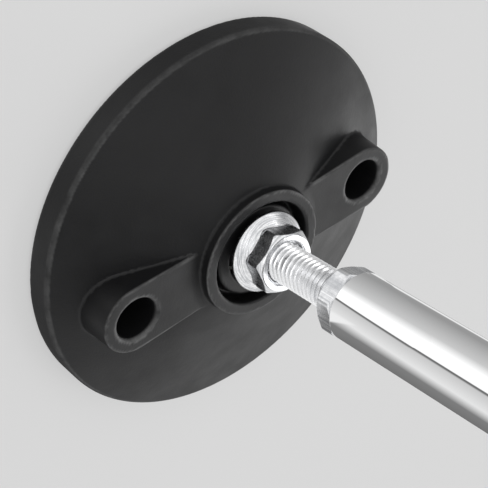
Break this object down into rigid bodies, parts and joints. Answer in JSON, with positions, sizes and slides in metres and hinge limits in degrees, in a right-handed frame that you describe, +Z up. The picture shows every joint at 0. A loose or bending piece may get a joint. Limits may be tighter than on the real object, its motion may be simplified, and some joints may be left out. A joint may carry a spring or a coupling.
{
  "type": "ladder stabilizer",
  "caption": "Ladder stabilizer leg: round bolt-down swivel foot with bolt lugs, ball-jointed threaded stem, hex nuts and a chromed leg tube.",
  "frame": {"origin": "centre of the sole, on the floor that the foot stands on", "axes": "+Z up, square to the sole; X through the two bolt lugs; the stem leans towards -Y at rest"},
  "size_m": [0.1248, 0.1248, 0.2643],
  "materials": {
    "black_nylon": "moulded, fine matt grain",
    "black_rubber": "moulded tread",
    "black_acetal": "machined",
    "natural_acetal": "moulded",
    "zinc_plate": "bright zinc plate",
    "spring_steel": "oiled",
    "chrome": "mirror chrome plate"
  },
  "bodies": {
    "foot": {"foot_pad": "black_nylon", "rubber_sole": "black_rubber", "sole_screw_1": "zinc_plate", "sole_screw_2": "zinc_plate", "sole_screw_3": "zinc_plate", "sole_screw_4": "zinc_plate", "socket_cover": "zinc_plate", "cover_screw_1": "zinc_plate", "cover_screw_2": "zinc_plate", "cover_screw_3": "zinc_plate", "cover_screw_4": "zinc_plate"},
    "seats": {"upper_ball_seat": "natural_acetal", "lower_ball_seat": "natural_acetal", "preload_washer": "spring_steel"},
    "ball": {"swivel_ball": "black_acetal"},
    "stem": {"threaded_stud": "zinc_plate", "thrust_washer": "spring_steel", "flange_nut": "zinc_plate"},
    "leg": {"leg_tube": "chrome", "lower_tube_bush": "zinc_plate", "upper_tube_bush": "zinc_plate"},
    "lock": {"jam_nut": "zinc_plate"}
  },
  "joints": [
    {"name": "foot_swivel", "type": "hinge", "parent": "foot", "child": "seats", "pos_m": [0, 0, 0.012], "axis": [0, 0, 1], "continuous": true},
    {"name": "foot_tilt", "type": "hinge", "parent": "seats", "child": "ball", "pos_m": [0, 0, 0.012], "axis": [1, 0, 0], "range_deg": [-19, 5]},
    {"name": "stem_spin", "type": "hinge", "parent": "ball", "child": "stem", "pos_m": [0, 0, 0.012], "axis": [0, -0.1219, 0.9925], "range_deg": [-4321, 2521]},
    {"name": "leg_travel", "type": "slide", "parent": "ball", "child": "leg", "axis": [0, -0.1219, 0.9925], "range_m": [-0.01225, 0.021]},
    {"name": "jam_nut_travel", "type": "slide", "parent": "leg", "child": "lock", "axis": [0, -0.1219, 0.9925], "range_m": [-0.00875, 0]}
  ],
  "couplings": [
    {"joint": "stem_spin", "follows": "leg_travel", "rad_per_m": -3590.4}
  ]
}
